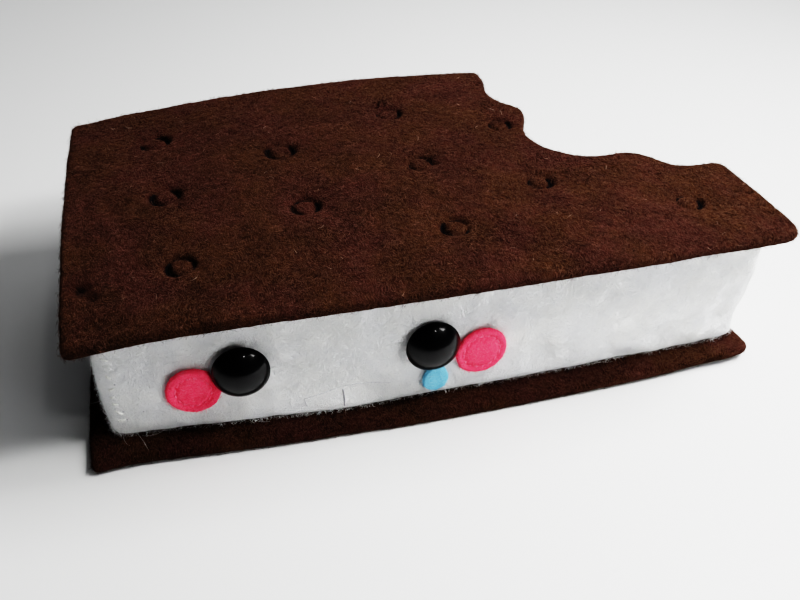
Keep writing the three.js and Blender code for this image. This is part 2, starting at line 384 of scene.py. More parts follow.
class Shader:
    """A material with one Principled shader, and short ways to its nodes."""

    def __init__(self, name: str, constants: dict[str, object]) -> None:
        """Makes the material.

        Args:
            name: the material's name.
            constants: what is the same all over the surface, by socket.
        """
        self.material = bpy.data.materials.new(name)
        self.material.use_nodes = True
        self.tree = self.material.node_tree
        self.surface = self.tree.nodes["Principled BSDF"]
        for socket, value in constants.items():
            self.put(self.surface.inputs[socket], value)

    def put(self, socket: Socket, value: object) -> None:
        """Sets an input to a number, a vector or a colour, or links a Value or an output socket to it.

        Args:
            socket: the input.
            value: what it gets.
        """
        value = value.socket if isinstance(value, Value) else value
        if isinstance(value, Socket):
            self.tree.links.new(value, socket)
        else:
            socket.default_value = (*value, 1.0) if socket.type == "RGBA" else value

    def node(
        self, kind: str, settings: dict[str, object] | None = None, sockets: dict[object, object] | None = None
    ) -> bpy.types.Node:
        """Adds a node.

        Args:
            kind: the node's type, without its ShaderNode or ShaderNodeTex prefix.
            settings: the node's own settings, which are set first.
            sockets: what each named or numbered input gets, as put takes it.

        Returns:
            The new node.
        """
        node = self.tree.nodes.new(f"ShaderNode{kind}")
        for name, value in (settings or {}).items():
            setattr(node, name, value)
        for name, value in (sockets or {}).items():
            self.put(node.inputs[name], value)
        return node

    def place(self) -> Socket:
        """The place on the piece, in its own frame."""
        return self.node("TexCoord").outputs["Object"]

    def stored(self, name: str) -> Value:
        """A number that the piece stores at its vertices."""
        return Value(self, self.node("Attribute", {"attribute_name": name}).outputs["Fac"])

    def noise(self, place: Socket, swells: Swells) -> Value:
        """A soft random pattern."""
        sockets = {"Vector": place, "Scale": 1.0 / swells.size, "Detail": swells.detail, "Roughness": swells.rough}
        return Value(self, self.node("TexNoise", None, sockets).outputs["Fac"])

    def turned(self, place: Socket, degrees: float, stretch: Triple) -> Socket:
        """A place turned about Z and then scaled along each axis."""
        sockets = {"Vector": place, "Rotation": (0.0, 0.0, math.radians(degrees)), "Scale": stretch}
        return self.node("Mapping", None, sockets).outputs["Vector"]

    def drift(self, place: Socket, size: float, reach: float) -> Socket:
        """A place pushed about by a soft random pattern, so that straight patterns wander.

        Args:
            place: the place.
            size: the size of the pattern's swells, in metres.
            reach: how far it pushes, in metres.

        Returns:
            The new place.
        """
        sockets = {"Vector": place, "Scale": 1.0 / size, "Detail": 1.0}
        push = self.node("TexNoise", None, sockets).outputs["Color"]
        centred = self.node("VectorMath", {"operation": "SUBTRACT"}, {0: push, 1: (0.5, 0.5, 0.5)})
        scaled = self.node("VectorMath", {"operation": "SCALE"}, {0: centred.outputs[0], "Scale": reach})
        return self.node("VectorMath", {"operation": "ADD"}, {0: place, 1: scaled.outputs[0]}).outputs[0]

    def mix(self, share: Value | float, first: object, second: object) -> Socket:
        """A colour between two colours."""
        return self.node("Mix", {"data_type": "RGBA"}, {"Factor": share, 6: first, 7: second}).outputs[2]

    def tinted(self, colour: Socket, cast: Colour) -> Socket:
        """A colour multiplied by another."""
        return self.node("VectorMath", {"operation": "MULTIPLY"}, {0: colour, 1: cast}).outputs[0]

    def feed(self, name: str, source: Value | Socket) -> None:
        """Links a value or a colour to one of the shader's own sockets."""
        self.put(self.surface.inputs[name], source)

    def bump(self, height: Value, depth: float) -> None:
        """Lets a height pattern of the given depth in metres shape the surface's light."""
        node = self.node("Bump", None, {"Height": height, "Distance": depth, "Strength": 1.0})
        self.feed("Normal", node.outputs["Normal"])


@dataclass(frozen=True)
class Finish:
    """What every finish has: its material's name, and the slot of the record that it belongs to."""

    name: str
    slot: Slot


@dataclass(frozen=True)
class Felt(Finish):
    """Matted felt: short fibres in all directions over a softly blotched ground.

    Four colours come first; the last is used where the stored mask is high, which marks matted felt and dark
    thread in some places and painted shade in others. A share says how much of a pattern there is, and a span
    says over which of a pattern's values it goes from 0 to 1. The two mattings are the middle of a pattern and
    how far it moves the edge of a darkened place.
    """

    ground: Colour
    blotch: Colour
    fibre: Colour
    pressed: Colour
    casts: tuple[Colour, Colour] = (WHITE, WHITE)
    fibre_share: float = 0.75
    sheen: float = 0.12
    depth: float = 0.0003
    wander: Pair = (0.006, 0.004)
    angles: Triple = (15.0, 75.0, 135.0)
    stretch: Triple = (1.0, 0.25, 0.7)
    fibres: Swells = Swells(0.00024, 2.0, 0.65)
    grain: Swells = Swells(0.0002)
    tufts: Swells = Swells(0.0016, 2.0, 0.6)
    blotches: Swells = Swells(0.009, 3.0, 0.6)
    tints: Swells = Swells(0.014, 3.0, 0.6)
    fibre_span: Pair = (0.5, 0.76)
    soft_span: Pair = (0.35, 0.65)
    pressed_span: Pair = (0.12, 0.7)
    ground_shares: Pair = (0.55, 0.45)
    least_fibre: float = 0.3
    fibre_matting: Pair = (0.4, 0.42)
    tuft_matting: Pair = (0.5, 0.34)
    relief_shares: Triple = (0.6, 0.4, 0.5)

    def material(self) -> bpy.types.Material:
        """Makes the felt's material.

        Returns:
            The new material.
        """
        constants = {
            "Roughness": 1.0,
            "Specular IOR Level": 0.0,
            "Sheen Weight": self.sheen,
            "Sheen Roughness": 0.4,
            "Sheen Tint": tuple(c / max(self.fibre) for c in self.fibre),
        }
        shader = Shader(self.name, constants)
        place = shader.place()
        wander = shader.drift(place, *self.wander)
        layers = [shader.noise(shader.turned(wander, angle, self.stretch), self.fibres) for angle in self.angles]
        fibres = layers[0].either(layers[1]).either(layers[2]).between(*self.fibre_span)
        grain = shader.noise(place, self.grain)
        tufts = shader.noise(wander, self.tufts).between(*self.soft_span)
        blotches = shader.noise(place, self.blotches).between(*self.soft_span)
        tint = shader.noise(place, self.tints).between(*self.soft_span)
        large, small = self.ground_shares
        colour = shader.mix(blotches * large + tufts * small, self.ground, self.blotch)
        colour = shader.mix(fibres * (self.least_fibre + grain) * self.fibre_share, colour, self.fibre)
        colour = shader.mix(tint, *(shader.tinted(colour, cast) for cast in self.casts))
        # Stored mask: matted felt and dark thread in the upper cookie's marks and dimples, painted shade in the lower
        # cookie's crevice beside the filling and along the cheeks' stitched groove.
        pressed = shader.stored("pressed")
        for pattern, (middle, reach) in ((fibres, self.fibre_matting), (tufts, self.tuft_matting)):
            pressed = pressed + (pattern - middle) * reach
        shader.feed("Base Color", shader.mix(pressed.between(*self.pressed_span), colour, self.pressed))
        high, fine, soft = self.relief_shares
        shader.bump(fibres * high + grain * fine + tufts * soft, self.depth)
        return shader.material


@dataclass(frozen=True)
class Fibre(Finish):
    """Single fibres, each with a shade of its own."""

    dark: Colour
    light: Colour

    def material(self) -> bpy.types.Material:
        """Makes the fibres' material.

        Returns:
            The new material.
        """
        shader = Shader(self.name, {"Roughness": 0.9, "Specular IOR Level": 0.1})
        shader.feed("Base Color", shader.mix(shader.stored("shade"), self.dark, self.light))
        return shader.material


@dataclass(frozen=True)
class Thread(Finish):
    """Sewing thread with a fine twist."""

    dark: Colour
    light: Colour
    twist: Swells = Swells(0.00025)
    twist_span: Pair = (0.35, 0.65)
    depth: float = 0.00006

    def material(self) -> bpy.types.Material:
        """Makes the thread's material.

        Returns:
            The new material.
        """
        shader = Shader(self.name, {"Roughness": 0.85, "Specular IOR Level": 0.1})
        twist = shader.noise(shader.place(), self.twist).between(*self.twist_span)
        shader.feed("Base Color", shader.mix(twist, self.dark, self.light))
        shader.bump(twist, self.depth)
        return shader.material


@dataclass(frozen=True)
class Plastic(Finish):
    """Polished plastic, a little paler and rougher where it is worn."""

    colour: Colour
    gloss: float
    wear: Swells = Swells(0.0012, 4.0, 0.7)
    wear_span: Pair = (0.45, 0.8)
    wear_share: float = 0.3
    wear_light: float = 4.0
    wear_rough: float = 0.04

    def material(self) -> bpy.types.Material:
        """Makes the plastic's material.

        Returns:
            The new material.
        """
        constants = {"Specular IOR Level": 0.12, "Coat Weight": 0.32, "Coat Roughness": 0.05, "Coat IOR": 1.45}
        shader = Shader(self.name, constants)
        wear = shader.noise(shader.place(), self.wear).between(*self.wear_span)
        pale = tuple(self.wear_light * c for c in self.colour)
        shader.feed("Base Color", shader.mix(wear * self.wear_share, self.colour, pale))
        shader.feed("Roughness", wear * self.wear_rough + self.gloss)
        return shader.material


BROWN_FELT = Felt(
    "brown_felt",
    Slot.BROWN_FELT,
    ground=(0.0088, 0.0035, 0.0021),
    blotch=(0.0275, 0.0117, 0.0074),
    fibre=(0.094, 0.0505, 0.0365),
    # The darkest colour: matted felt and dark thread in the marks, dark stitching and painted shade beside the
    # filling.
    pressed=(0.0032, 0.0021, 0.0022),
    casts=((0.98, 1.025, 0.86), (1.05, 0.95, 1.12)),
    sheen=0.08,
)
WHITE_FELT = Felt(
    "white_felt",
    Slot.WHITE_FELT,
    ground=(0.8, 0.805, 0.82),
    blotch=(0.915, 0.915, 0.915),
    fibre=(0.95, 0.95, 0.95),
    pressed=(0.3, 0.3, 0.3),
    casts=((1.0, 1.0, 0.98), (0.98, 0.988, 1.0)),
    fibre_share=0.5,
    depth=0.00038,
)
PINK_FELT = Felt(
    "pink_felt",
    Slot.PINK_FELT,
    ground=(0.93, 0.053, 0.112),
    blotch=(1.0, 0.083, 0.155),
    fibre=(1.0, 0.22, 0.3),
    # The darkest colour: painted shade along the stitched groove.
    pressed=(0.8, 0.035, 0.085),
    sheen=0.3,
    depth=0.00014,
)
BLUE_FELT = Felt(
    "blue_felt",
    Slot.BLUE_FELT,
    ground=(0.15, 0.46, 0.72),
    blotch=(0.205, 0.54, 0.78),
    fibre=(0.34, 0.68, 0.86),
    pressed=(0.12, 0.4, 0.6),
    depth=0.00014,
)
BLACK_PLASTIC = Plastic("black_plastic", Slot.BLACK_PLASTIC, (0.0012, 0.0013, 0.0016), gloss=0.3)
BROWN_FIBRE = Fibre("brown_fibre", Slot.BROWN_FELT, (0.0125, 0.0052, 0.0034), (0.116, 0.064, 0.047))
PALE_FIBRE = Fibre("pale_fibre", Slot.BROWN_FELT, (0.24, 0.15, 0.11), (0.6, 0.46, 0.38))
PINK_FIBRE = Fibre("pink_fibre", Slot.PINK_FELT, (0.86, 0.07, 0.14), (1.0, 0.28, 0.38))
BLUE_FIBRE = Fibre("blue_fibre", Slot.BLUE_FELT, (0.2, 0.52, 0.74), (0.5, 0.8, 0.92))
WHITE_FIBRE = Fibre("white_fibre", Slot.WHITE_FELT, (0.76, 0.765, 0.775), (0.94, 0.94, 0.94))
PINK_THREAD = Thread("pink_thread", Slot.PINK_FELT, (0.92, 0.08, 0.16), (1.0, 0.2, 0.3))
WHITE_THREAD = Thread("white_thread", Slot.WHITE_FELT, (0.84, 0.84, 0.85), (0.94, 0.94, 0.94))
BLACK_THREAD = Thread("black_thread", Slot.BROWN_FELT, (0.0012, 0.0012, 0.0018), (0.005, 0.0048, 0.0055))
CORNER_THREAD = Thread("corner_thread", Slot.WHITE_FELT, (0.8, 0.805, 0.77), (0.9, 0.9, 0.87))
FAINT_THREAD = Thread("faint_thread", Slot.WHITE_FELT, (0.5, 0.5, 0.53), (0.66, 0.66, 0.69))
# Grey thread for the loose thread end at the mouth, and painted shade in the needle holes.
GREY_THREAD_AND_HOLE_SHADE = Thread("grey_thread_and_hole_shade", Slot.WHITE_FELT, (0.2, 0.2, 0.22), (0.38, 0.38, 0.4))


# ------------------------------ threads and fibres


def mesh_piece(name: str, places: np.ndarray, faces: list[tuple[int, ...]]) -> Piece:
    """Makes a piece from vertices and faces.

    Args:
        name: the piece's name.
        places: where its vertices are, one row each.
        faces: the vertices of each face, by their numbers.

    Returns:
        The new piece.
    """
    mesh = bpy.data.meshes.new(name)
    mesh.from_pydata(places.tolist(), [], faces)
    mesh.update()
    return add_object(name, mesh)


@dataclass
class Sewing:
    """Stitches of one thread, collected into one piece.

    Its radius is in metres, and taper is the share of it that is left at a stitch's two ends.
    """

    name: str
    finish: Thread
    radius: float
    sides: int = 8
    taper: float = 0.25
    places: list[Vector] = field(default_factory=list)
    faces: list[tuple[int, ...]] = field(default_factory=list)

    def lay(self, path: Sequence[Vector]) -> None:
        """Lays one stitch.

        Args:
            path: the places that it runs through.
        """
        count = len(path)
        start = len(self.places)
        for i, place in enumerate(path):
            along = (path[min(i + 1, count - 1)] - path[max(i - 1, 0)]).normalized()
            side = along.orthogonal().normalized()
            other = along.cross(side)
            swell = math.sin(math.pi * (i + 0.5) / count) ** 0.5
            radius = self.radius * (self.taper + (1.0 - self.taper) * swell)
            for k in range(self.sides):
                angle = 2.0 * math.pi * k / self.sides
                self.places.append(place + radius * (math.cos(angle) * side + math.sin(angle) * other))
        for i in range(count - 1):
            for k in range(self.sides):
                here, after = start + i * self.sides + k, start + i * self.sides + (k + 1) % self.sides
                self.faces.append((here, after, after + self.sides, here + self.sides))
        last = start + (count - 1) * self.sides
        self.faces.append(tuple(range(start + self.sides - 1, start - 1, -1)))
        self.faces.append(tuple(range(last, last + self.sides)))

    def join(self) -> None:
        """Joins the stitches into their piece."""
        piece = mesh_piece(self.name, np.array([tuple(p) for p in self.places]), self.faces)
        with editing(piece):
            bpy.ops.mesh.normals_make_consistent(inside=False)
        smooth_shading(piece)
        hand_over(piece, self.finish)


def everywhere(places: np.ndarray, normals: np.ndarray) -> np.ndarray:
    """A nap all over."""
    return np.ones(len(places))


def facing_up(places: np.ndarray, normals: np.ndarray) -> np.ndarray:
    """A full nap on what faces up, a thinner one on the edges and next to none on what faces down."""
    return np.where(normals[:, 2] > 0.2, 1.0, np.where(normals[:, 2] > -0.5, 0.7, 0.02))


def edges(places: np.ndarray, normals: np.ndarray) -> np.ndarray:
    """A nap on the cut edges alone."""
    return (np.abs(normals[:, 2]) < 0.6).astype(float)


@dataclass
class Nap:
    """Loose fibres that lie on a piece of felt and cross its edges.

    Their length, radius and lift above the felt are in metres, loose is the share of them that stand off at
    one end, curl is how much they bend aside and lean is the way that more of them point. Where the stored
    mask of matting and painted shade is high, a share of them is missing. The higher shade_power is, the
    fewer of them are light.
    """

    name: str
    finish: Fibre
    count: int
    length: Pair
    radius: float
    lift: float
    seed: int
    loose: float = 0.05
    curl: float = 0.22
    lean: Triple = (0.0, 0.0, 0.0)
    missing: float = 0.65
    shade_power: float = 2.2

    def sample(self, piece: Piece, cover: Cover) -> tuple[np.ndarray, np.ndarray]:
        """Draws places on a piece, with the directions that they face.

        Args:
            piece: the felt.
            cover: how thick the nap is at places that face some directions, 0 for none.

        Returns:
            The places and the directions, one row for each fibre.
        """
        rng = np.random.default_rng(self.seed)
        mesh = piece.data
        mesh.calc_loop_triangles()
        corners = np.empty(len(mesh.loop_triangles) * 3, np.int32)
        mesh.loop_triangles.foreach_get("vertices", corners)
        a, b, c = points_of(piece)[corners.reshape(-1, 3)].transpose(1, 0, 2)
        cross = np.cross(b - a, c - a)
        area = np.linalg.norm(cross, axis=1)
        normals = cross / np.maximum(area, TINY)[:, None]
        share = area * cover((a + b + c) / 3.0, normals)
        if "pressed" in mesh.attributes:
            pressed = np.empty(len(mesh.vertices))
            mesh.attributes["pressed"].data.foreach_get("value", pressed)
            share *= 1.0 - self.missing * np.clip(2.0 * pressed[corners.reshape(-1, 3)].max(axis=1), 0.0, 1.0)
        chosen = rng.choice(len(area), self.count, p=share / share.sum())
        u, v = rng.random((2, self.count))
        over = u + v > 1.0
        u[over], v[over] = 1.0 - u[over], 1.0 - v[over]
        places = a[chosen] + u[:, None] * (b - a)[chosen] + v[:, None] * (c - a)[chosen]
        return places, normals[chosen]

    def grow(self, piece: Piece, cover: Cover = everywhere) -> None:
        """Grows the fibres on a piece.

        Args:
            piece: the felt that carries them.
            cover: how thick the nap is at places that face some directions, 0 for none.
        """
        places, normals = self.sample(piece, cover)
        rng = np.random.default_rng(self.seed + 1)
        along = rng.normal(size=places.shape) + np.array(self.lean)
        along -= normals * np.sum(along * normals, axis=1)[:, None]
        along /= np.linalg.norm(along, axis=1)[:, None]
        across = np.cross(normals, along)
        length = rng.uniform(*self.length, self.count)[:, None]
        lift = self.lift * rng.random((self.count, 1))
        bend = rng.normal(scale=self.curl, size=(self.count, 1))
        loose = rng.random((self.count, 1)) < self.loose
        sink = -0.5 * self.radius
        # How far along the fibre each of its four places is, its height and its share of the bend.
        steps = (
            (0.0, sink * np.ones_like(lift), 0.0),
            (0.33, 0.8 * lift, 0.8),
            (0.67, np.where(loose, 2.0 * lift, lift), 1.0),
            (1.0, np.where(loose, 3.5 * lift, sink), 0.2),
        )
        path = [
            places + along * length * t + normals * height + across * length * bend * swing
            for t, height, swing in steps
        ]
        for middle in path:
            middle[:, 2] = np.maximum(middle[:, 2], self.radius)
        rings = []
        for middle in path[1:3]:
            for k in range(3):
                angle = 2.0 * math.pi * k / 3.0
                rings.append(middle + self.radius * (math.cos(angle) * across + math.sin(angle) * normals))
        # A point at each end, numbered 0 and 7, and two rings of three corners between them.
        corners = np.stack([path[0], *rings, path[3]], axis=1).reshape(-1, 3)
        pattern = [(0, 2, 1), (0, 3, 2), (0, 1, 3), (7, 4, 5), (7, 5, 6), (7, 6, 4)]
        pattern += [(1, 2, 5, 4), (2, 3, 6, 5), (3, 1, 4, 6)]
        faces = [tuple(8 * i + k for k in face) for i in range(self.count) for face in pattern]
        nap = mesh_piece(self.name, corners, faces)
        store(nap, "shade", np.repeat(rng.random(self.count) ** self.shade_power, 8))
        hand_over(nap, self.finish)


# ------------------------------ filling


@dataclass
class Filling:
    """The stuffed white block between the cookies, inflated as cloth between its sewn edges.

    Its sizes are in metres, apart from foot_start, front_depth, seam_depth and the first of sag, which are
    millimetres from the corner. The belly under the eyes is sag: its middle, its reach and its depth.
    """

    voxel: float = 0.0017
    seam_depth: float = 7.2
    corner_reach: float = 0.006
    flat_slope: float = 0.6
    quality: int = 6
    mass: float = 0.3
    stiffness: float = 20.0
    bending: float = 0.8
    pressure: float = 4.0
    shrink: float = -0.015
    frames: int = 18
    most_move: float = 0.0006
    swells: tuple[Pair, ...] = ((0.02, 0.00035), (0.005, 0.00014), (0.0018, 0.0001))
    end_reach: float = 0.009
    end_move: float = 0.00075
    pinch: float = 0.55
    pinch_reach: float = 0.0019
    foot_move: float = 0.0007
    foot_rise: float = 0.0075
    foot_start: Pair = (16.0, 29.0)
    sag: Triple = (52.0, 0.012, 0.0008)
    front_depth: Pair = (11.0, 22.0)
    nap_slope: float = 0.5
    hem_height: float = 0.0022
    seam_reach: float = 0.003

    def seam_corner(self) -> Pair:
        """Where the wall's two ends are sewn together, seen from above.

        Returns:
            The x and the y of the seam, in metres.
        """
        low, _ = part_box("filling")
        front = LAYOUT.at(0.0, self.seam_depth, 0.0)
        return low.x, front.y

    def from_seam(self, places: np.ndarray) -> np.ndarray:
        """How far some places are from where the wall's two ends meet, seen from above."""
        return np.hypot(*(places[:, :2] - np.array(self.seam_corner())).T)

    def stuff(self, piece: Piece) -> None:
        """Inflates the walls as cloth, with the edges that are sewn to the cookies held.

        Args:
            piece: the block.
        """
        before = points_of(piece)
        facing = normals_of(piece)
        held = piece.vertex_groups.new(name="sewn")
        fixed = (np.abs(facing[:, 2]) > self.flat_slope) | (self.from_seam(before) < self.corner_reach)
        held.add([int(i) for i in np.flatnonzero(fixed)], 1.0, "REPLACE")
        modifier = piece.modifiers.new("Stuffing", Kind.CLOTH.value)
        cloth = modifier.settings
        cloth.quality = self.quality
        cloth.mass = self.mass
        cloth.tension_stiffness = cloth.compression_stiffness = self.stiffness
        cloth.bending_stiffness = self.bending
        cloth.use_pressure = True
        cloth.uniform_pressure_force = self.pressure
        cloth.shrink_min = self.shrink
        cloth.vertex_group_mass = held.name
        cloth.effector_weights.gravity = 0.0
        modifier.point_cache.frame_start = 1
        modifier.point_cache.frame_end = self.frames
        scene = bpy.context.scene
        for number in range(1, self.frames + 1):
            scene.frame_set(number)
        activate(piece)
        bpy.ops.object.modifier_apply(modifier=modifier.name)
        scene.frame_set(1)
        move = points_of(piece) - before
        size = np.linalg.norm(move, axis=1, keepdims=True)
        capped = move * np.minimum(1.0, self.most_move / np.maximum(size, TINY))
        move_points(piece, before + capped)
        piece.vertex_groups.clear()

    def draw_out(self, piece: Piece) -> None:
        """Draws the right end out a little, and the seam at the left end to an edge.

        Args:
            piece: the block.
        """
        places = points_of(piece)
        away = np.array(self.seam_corner()) - places[:, :2]
        share = self.pinch * np.exp(-(np.sum(away**2, axis=1) / self.pinch_reach**2))
        places[:, :2] += away * share[:, None]
        right = places[:, 0].max()
        places[:, 0] += smoothstep(right - self.end_reach, right, places[:, 0]) * self.end_move
        self.let_down(places)
        move_points(piece, places)

    def let_down(self, places: np.ndarray) -> None:
        """Lets the front wall belly out over its foot, most between the eyes.

        Args:
            places: where the block's vertices are, which this changes.
        """
        start, full = (LAYOUT.at(x, 0.0, 0.0).x for x in self.foot_start)
        near, far = (LAYOUT.at(0.0, y, 0.0).y for y in self.front_depth)
        middle, reach, depth = self.sag
        across = places[:, 0]
        belly = self.foot_move * smoothstep(start, full, across)
        belly += depth * np.exp(-(((across - LAYOUT.at(middle, 0.0, 0.0).x) / reach) ** 2))
        low = places[:, 2].min()
        foot = 1.0 - smoothstep(low, low + self.foot_rise, places[:, 2])
        places[:, 1] -= belly * foot * (1.0 - smoothstep(near, far, places[:, 1]))

    def build(self) -> Piece:
        """Makes the block.

        Returns:
            The finished piece.
        """
        piece = copy_of_node("filling", "filling_felt")
        remesh(piece, self.voxel)
        self.stuff(piece)
        self.draw_out(piece)
        finish_with(piece, Kind.SUBSURF, levels=1, render_levels=1)
        roughen(piece, self.swells)
        smooth_shading(piece)
        hand_over(piece, WHITE_FELT, "filling")
        return piece

    def walls(self, places: np.ndarray, normals: np.ndarray) -> np.ndarray:
        """A nap on the walls alone."""
        return (np.abs(normals[:, 2]) < self.nap_slope).astype(float)

    def hem(self, places: np.ndarray, normals: np.ndarray) -> np.ndarray:
        """A nap along the walls' lower edge."""
        low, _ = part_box("filling")
        return self.walls(places, normals) * (places[:, 2] - low.z < self.hem_height)

    def seam(self, places: np.ndarray, normals: np.ndarray) -> np.ndarray:
        """A nap along the corner where the wall's ends meet."""
        return self.walls(places, normals) * (self.from_seam(places) < self.seam_reach)


@dataclass(frozen=True)
class WhipStitch:
    """One stitch beside the corner: the x and z of its two ends, and a y a little ahead of the front."""

    start: Pair
    end: Pair
    ahead: float = 5.8

    def at(self, share: float) -> Vector:
        """The place a share of the way along the stitch."""
        (x, z), (to_x, to_z) = self.start, self.end
        return LAYOUT.at(x + (to_x - x) * share, self.ahead, z + (to_z - z) * share)


@dataclass
class CornerSeam:
    """The whip stitches that join the two ends of the filling's wall at its front left corner.

    Radii are in metres, and lifts and sinks in millimetres.
    """

    stitches: tuple[WhipStitch, ...] = (
        WhipStitch((4.9, 29.3), (6.3, 29.0)),
        WhipStitch((4.9, 25.6), (6.7, 24.8)),
        WhipStitch((5.2, 21.4), (6.7, 19.9)),
        WhipStitch((5.1, 17.2), (6.6, 17.7)),
        WhipStitch((5.0, 15.0), (6.2, 15.3)),
        WhipStitch((5.0, 13.2), (6.5, 12.9)),
        WhipStitch((5.2, 11.0), (6.9, 9.7)),
        WhipStitch((4.7, 7.6), (7.2, 8.0)),
    )
    holes: tuple[WhipStitch, ...] = (
        WhipStitch((6.9, 10.9), (7.1, 10.4)),
        WhipStitch((7.25, 8.2), (7.35, 7.8)),
        WhipStitch((6.7, 18.9), (6.85, 18.5)),
        WhipStitch((10.9, 10.6), (11.1, 10.3)),
    )
    thread_radius: float = 0.00026
    thread_lift: float = 0.05
    end_sink: float = 0.4
    hole_radius: float = 0.00013
    hole_lift: float = -0.03
    steps: int = 10

    def sew(self, skin: Skin) -> None:
        """Sews the corner, and sinks short dark grey threads where the needle went in, as painted shade in the needle
        holes.

        Args:
            skin: the filling's surface.
        """
        thread = Sewing("corner_stitches", CORNER_THREAD, self.thread_radius)
        # Painted shade: the dark grey threads sunk at the holes stand for the shade inside them.
        hole_shades = Sewing("needle_hole_shade", GREY_THREAD_AND_HOLE_SHADE, self.hole_radius)
        for sewing, stitches, lift, sink in (
            (thread, self.stitches, self.thread_lift, self.end_sink),
            (hole_shades, self.holes, self.hole_lift, 0.0),
        ):
            for stitch in stitches:
                path = []
                for share in shares(self.steps):
                    found, normal = skin.nearest(stitch.at(share))
                    path.append(found + normal * (lift - sink * abs(2.0 * share - 1.0) ** 4) * MM)
                sewing.lay(path)
            sewing.join()


@dataclass
class StrayHairs:
    """A few long loose fibres at the filling's lower left corner, each on a curve of four places."""

    hairs: tuple[tuple[Triple, ...], ...] = (
        ((5.0, 6.2, 15.4), (3.4, 5.6, 15.0), (1.6, 6.0, 14.0), (0.2, 7.0, 13.6)),
        ((8.0, 6.6, 4.2), (9.6, 4.6, 3.6), (10.6, 2.2, 2.9), (11.2, -0.6, 1.8)),
        ((9.5, 5.4, 3.4), (11.5, 4.2, 3.6), (13.5, 4.4, 4.4), (15.4, 5.0, 5.2)),
        ((6.5, 6.4, 6.0), (5.6, 5.4, 4.6), (5.8, 4.4, 3.2), (6.9, 3.6, 2.9)),
        ((31.0, 5.8, 4.6), (32.0, 4.4, 3.6), (33.6, 3.4, 3.1), (35.8, 3.4, 3.4)),
        ((55.0, 5.6, 4.4), (56.2, 4.0, 3.6), (58.6, 3.4, 3.2), (60.0, 4.2, 3.8)),
    )
    radius: float = 0.000011
    sides: int = 5
    steps: int = 12

    def lay(self) -> None:
        """Lays the fibres."""
        hair = Sewing("stray_hairs", WHITE_THREAD, self.radius, self.sides)
        for points in self.hairs:
            path = []
            for share in shares(self.steps):
                weights = ((1 - share) ** 3, 3 * share * (1 - share) ** 2, 3 * share**2 * (1 - share), share**3)
                path.append(sum((LAYOUT.at(*point) * w for point, w in zip(points, weights)), Vector()))
            hair.lay(path)
        hair.join()


@dataclass
class MouthThread:
    """The loose end of a thread on the front, with the faint trace of a seam beside it.

    Radii are in metres, and the other sizes in millimetres.
    """

    x: float = 51.8
    low: float = 4.0
    high: float = 8.1
    wave: float = 0.2
    wave_turn: float = 2.5
    radius: float = 0.00019
    lift: float = 0.05
    start: float = -10.0
    steps: int = 8
    traces: tuple[tuple[Pair, ...], ...] = (
        ((43.4, 7.0), (45.2, 7.4), (47.0, 7.7), (49.4, 8.4), (51.6, 8.9)),
        ((52.0, 8.9), (54.4, 9.0), (57.0, 8.9), (59.6, 8.7), (62.1, 8.5)),
        ((43.4, 7.0), (43.6, 6.2), (43.8, 5.5), (44.1, 4.9)),
    )
    trace_radius: float = 0.0001
    trace_depth: float = 4.5

    def lay(self, skin: Skin) -> None:
        """Lays the thread end and the traces.

        Args:
            skin: the filling's surface.
        """
        trace = Sewing("mouth_trace", FAINT_THREAD, self.trace_radius)
        for points in self.traces:
            trace.lay([skin.nearest(LAYOUT.at(x, self.trace_depth, z))[0] for x, z in points])
        trace.join()
        thread = Sewing("mouth_thread", GREY_THREAD_AND_HOLE_SHADE, self.radius)
        path = []
        for share in shares(self.steps):
            x, z = self.x + self.wave * math.sin(self.wave_turn * share), self.high + (self.low - self.high) * share
            found = skin.ahead(LAYOUT.at(x, self.start, z), BACKWARDS)
            path.append(found - Vector((0.0, self.lift * MM, 0.0)))
        thread.lay(path)
        thread.join()


# ------------------------------ cookies


@dataclass(frozen=True)
class Arc:
    """A dark part of a docking mark's ring: its middle and half its length in degrees, and its strength."""

    middle: float
    spread: float
    weight: float

    def at(self, angle: np.ndarray) -> np.ndarray:
        """How strong the arc is at some angles in degrees."""
        away = np.abs((angle - self.middle + 180.0) % 360.0 - 180.0) / self.spread
        return self.weight * np.cos(0.5 * math.pi * np.clip(away, 0.0, 1.0)) ** 0.6


@dataclass(frozen=True)
class Mark:
    """One docking mark: a ring pressed into the upper cookie, with dark thread in its arcs."""

    x: float
    y: float
    across: float
    deep: float
    arcs: tuple[Arc, ...]

    def ring(self, angle: float, offset: float) -> Pair:
        """The place on the ring at an angle in degrees, moved outwards by an offset."""
        turn = math.radians(angle)
        return self.x + (self.across + offset) * math.cos(turn), self.y + (self.deep + offset) * math.sin(turn)


@dataclass(frozen=True)
class Dimple:
    """A place where a hidden stitch pulls the felt in."""

    x: float
    y: float
    across: float
    deep: float
    strength: float


@dataclass
class Cookie:
    """One felt cookie, with soft cut edges."""

    node: str
    name: str
    voxel: float = 0.00052
    rounding: int = 6
    swells: tuple[Pair, ...] = ((0.016, 0.0005), (0.0016, 0.00022))

    def blank(self) -> Piece:
        """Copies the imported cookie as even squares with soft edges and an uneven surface.

        Returns:
            The new piece.
        """
        piece = copy_of_node(self.node, self.name)
        remesh(piece, self.voxel)
        finish_with(piece, Kind.SMOOTH, factor=0.5, iterations=self.rounding)
        roughen(piece, self.swells)
        return piece

    def plan(self, places: np.ndarray) -> tuple[np.ndarray, np.ndarray]:
        """The x and the y of some places, in millimetres from the corner."""
        corner = LAYOUT.corner()
        return (places[:, 0] - corner.x) / MM, (places[:, 1] - corner.y) / MM

    def dress(self, piece: Piece, pressed: np.ndarray) -> None:
        """Gives the cookie its felt.

        Args:
            piece: the cookie.
            pressed: how dark the felt is at each vertex, from 0 to 1, for matted felt and dark thread on the
            upper cookie and for dark stitching and painted shade beside the filling on the lower one.
        """
        store(piece, "pressed", pressed)
        smooth_shading(piece)
        hand_over(piece, BROWN_FELT, self.node)


